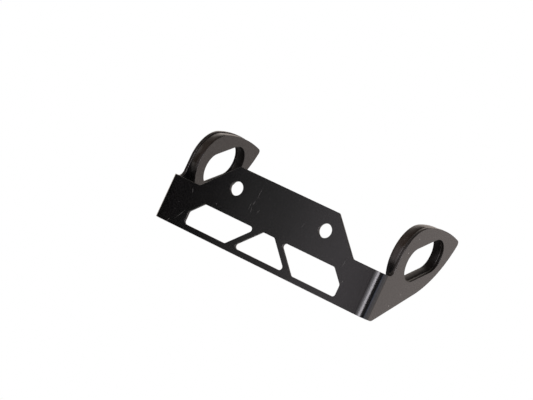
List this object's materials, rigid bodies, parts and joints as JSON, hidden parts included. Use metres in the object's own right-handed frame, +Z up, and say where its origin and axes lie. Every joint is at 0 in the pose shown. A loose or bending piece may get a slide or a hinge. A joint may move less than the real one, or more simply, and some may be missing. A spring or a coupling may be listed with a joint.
{
  "type": "indicator lamp bracket",
  "caption": "Folded black sheet bracket: a windowed plate with bolt holes and swept-back ears, backed by thick lugs, whose slanted slots carry indicator lamps.",
  "frame": {"origin": "midway between the bolt holes, on the front face of the plate", "axes": "+X along the plate, +Y back through the plate towards the ears, +Z up"},
  "size_m": [0.12, 0.0536, 0.0489],
  "materials": {
    "powder_coat": "satin black powder coat"
  },
  "bodies": {
    "root": {"folded_bracket": "powder_coat", "left_lug_plate": "powder_coat", "right_lug_plate": "powder_coat"}
  },
  "joints": []
}
